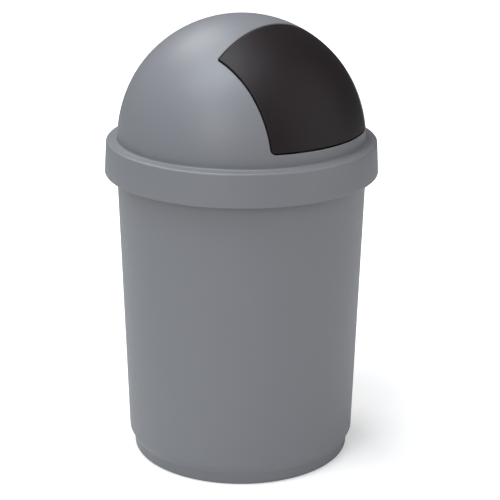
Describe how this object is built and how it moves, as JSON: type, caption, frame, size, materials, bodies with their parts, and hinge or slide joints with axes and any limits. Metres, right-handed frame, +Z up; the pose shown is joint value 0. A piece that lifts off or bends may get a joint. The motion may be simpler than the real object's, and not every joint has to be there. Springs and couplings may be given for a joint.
{
  "type": "dome top waste bin",
  "caption": "Round tapered plastic waste bin with a lift-off dome lid and a flush push flap that swings inwards on side pins and falls shut by its counterweight.",
  "frame": {"origin": "centre of the base, on the floor", "axes": "+Z up along the bin's axis; the flap faces -Y; the flap's pivot axis runs along X"},
  "size_m": [0.406, 0.406, 0.6695],
  "materials": {
    "grey_plastic": "fine satin texture, injection moulded polypropylene",
    "black_plastic": "fine satin texture, injection moulded polypropylene",
    "pin_plastic": "smooth moulded acetal",
    "plated_steel": "drawn bar, zinc plated"
  },
  "bodies": {
    "bucket": {"bucket": "grey_plastic"},
    "lid": {"dome_lid": "grey_plastic"},
    "flap": {"swing_flap": "black_plastic", "pivot_pin_left": "pin_plastic", "pivot_pin_right": "pin_plastic", "counterweight_bar": "plated_steel"}
  },
  "joints": [
    {"name": "lid_lift", "type": "slide", "parent": "bucket", "child": "lid", "axis": [0, 0, 1], "range_m": [0, 0.08]},
    {"name": "flap_swing", "type": "hinge", "parent": "lid", "child": "flap", "pos_m": [0, -0.094, 0.584], "axis": [1, 0, 0], "range_deg": [0, 67]}
  ]
}
